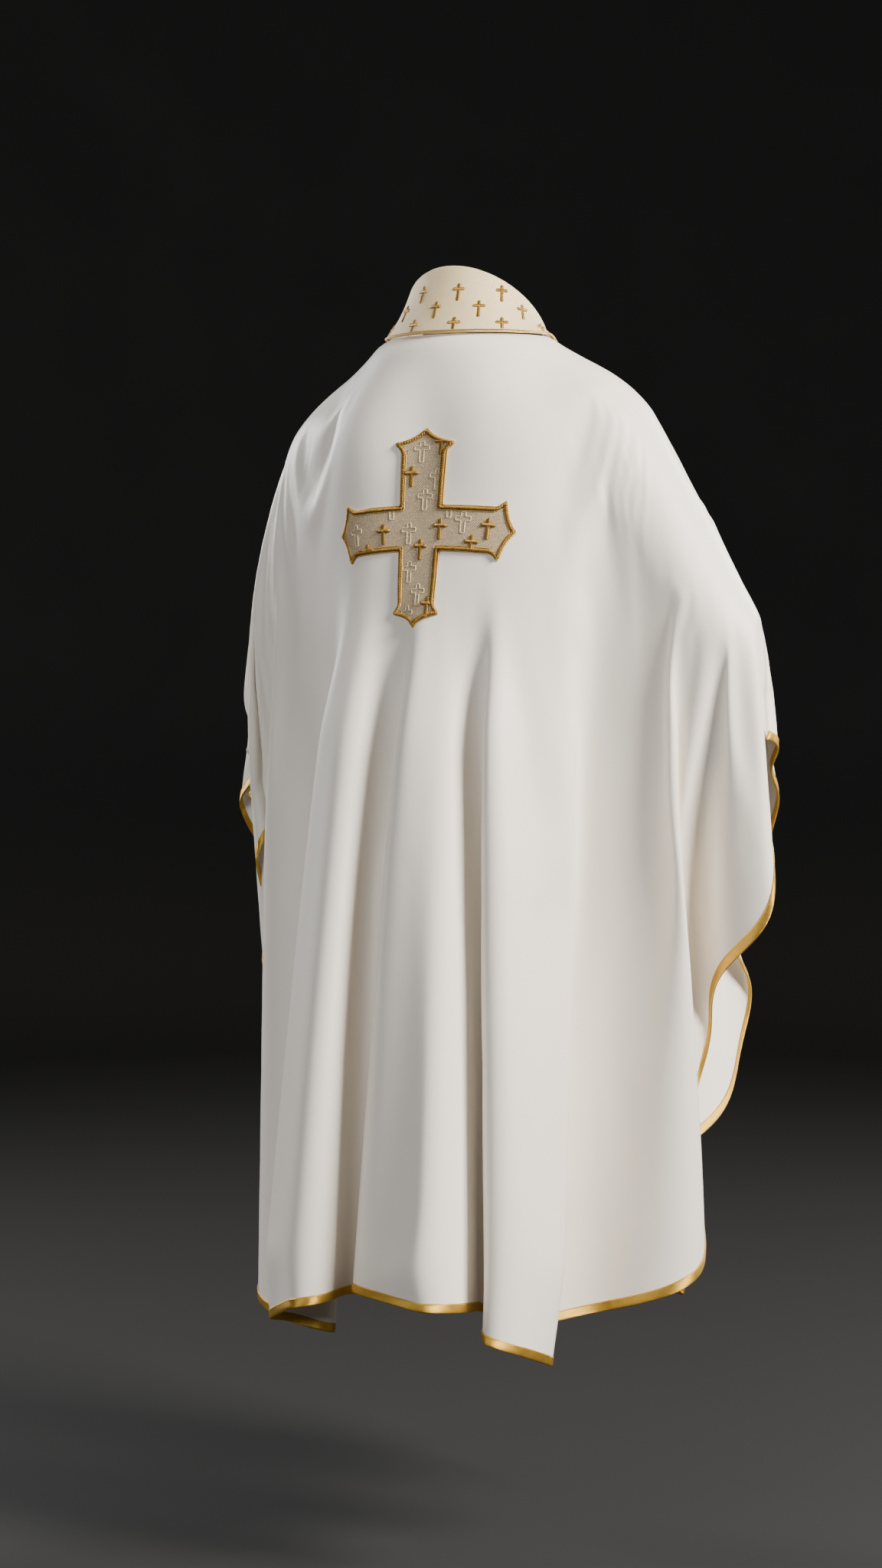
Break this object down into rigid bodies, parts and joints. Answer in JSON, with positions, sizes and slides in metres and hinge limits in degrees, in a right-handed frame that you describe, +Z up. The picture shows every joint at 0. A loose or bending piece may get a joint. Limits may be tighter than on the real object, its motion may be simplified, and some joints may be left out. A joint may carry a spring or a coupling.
{
  "type": "chasuble",
  "caption": "Full-cut ivory chasuble draped as worn, with a standing brocade collar, gold-bound hem and applied brocade crosses on back and front.",
  "frame": {"origin": "middle of the neck seam at shoulder level, where the wearer carries the garment", "axes": "+Z up, the wearer faces -Y, the wearer's left is +X"},
  "size_m": [0.7684, 0.6639, 1.3015],
  "materials": {
    "ivory_satin": "soft ivory crepe-back satin with a fine crosswise rib and a low sheen",
    "gold_brocade": "cream and pale gold brocade with fine diagonal twill",
    "gold_trim": "antique gold metallic braid, cord and embroidery",
    "stiffener": "matt white felted interlining"
  },
  "bodies": {
    "root": {"back_panel": "ivory_satin", "front_panel": "ivory_satin", "back_hem_binding": "gold_trim", "front_hem_binding": "gold_trim", "back_neck_facing": "ivory_satin", "front_neck_facing": "ivory_satin", "left_shoulder_seam_tape": "ivory_satin", "right_shoulder_seam_tape": "ivory_satin", "hanging_loop": "ivory_satin", "collar_interlining": "stiffener", "collar_lining": "ivory_satin", "collar_brocade": "gold_brocade", "collar_piping": "gold_trim", "back_cross_backing": "stiffener", "back_cross_brocade": "gold_brocade", "back_cross_cord": "gold_trim", "back_cross_motif_1": "gold_trim", "back_cross_motif_2": "gold_trim", "back_cross_motif_3": "gold_trim", "back_cross_motif_4": "gold_trim", "back_cross_motif_5": "gold_trim", "front_cross_backing": "stiffener", "front_cross_brocade": "gold_brocade", "front_cross_cord": "gold_trim", "front_cross_motif_1": "gold_trim", "front_cross_motif_2": "gold_trim", "front_cross_motif_3": "gold_trim", "front_cross_motif_4": "gold_trim", "front_cross_motif_5": "gold_trim"}
  },
  "joints": []
}
